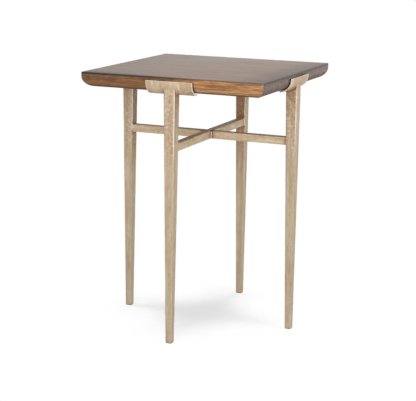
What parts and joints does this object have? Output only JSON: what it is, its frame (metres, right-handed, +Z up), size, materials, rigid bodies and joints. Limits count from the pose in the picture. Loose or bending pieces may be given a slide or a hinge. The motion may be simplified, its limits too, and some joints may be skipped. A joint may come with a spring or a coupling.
{
  "type": "side table",
  "caption": "Square side table: a wood slab with a rounded rim held in curved metal saddles on tapered legs, braced by crossed bars.",
  "frame": {"origin": "on the floor under the middle of the table", "axes": "+Z up, +X to the right, -Y towards the front; the base is alike on all four sides"},
  "size_m": [0.469, 0.469, 0.635],
  "materials": {
    "stained_wood": "brown stain under a satin clear coat",
    "leafed_metal": "worn champagne leaf over steel",
    "screw_steel": "zinc plated",
    "spacer_rubber": "matte",
    "glide_plastic": "matte"
  },
  "bodies": {
    "root": {"table_top": "stained_wood", "saddle_front": "leafed_metal", "saddle_right": "leafed_metal", "saddle_back": "leafed_metal", "saddle_left": "leafed_metal", "leg_front": "leafed_metal", "leg_right": "leafed_metal", "leg_back": "leafed_metal", "leg_left": "leafed_metal", "foot_glide_front": "glide_plastic", "foot_glide_right": "glide_plastic", "foot_glide_back": "glide_plastic", "foot_glide_left": "glide_plastic", "cross_bar_through": "leafed_metal", "cross_bar_right": "leafed_metal", "cross_bar_left": "leafed_metal", "flange_screws": "screw_steel", "flange_spacers": "spacer_rubber"}
  },
  "joints": []
}
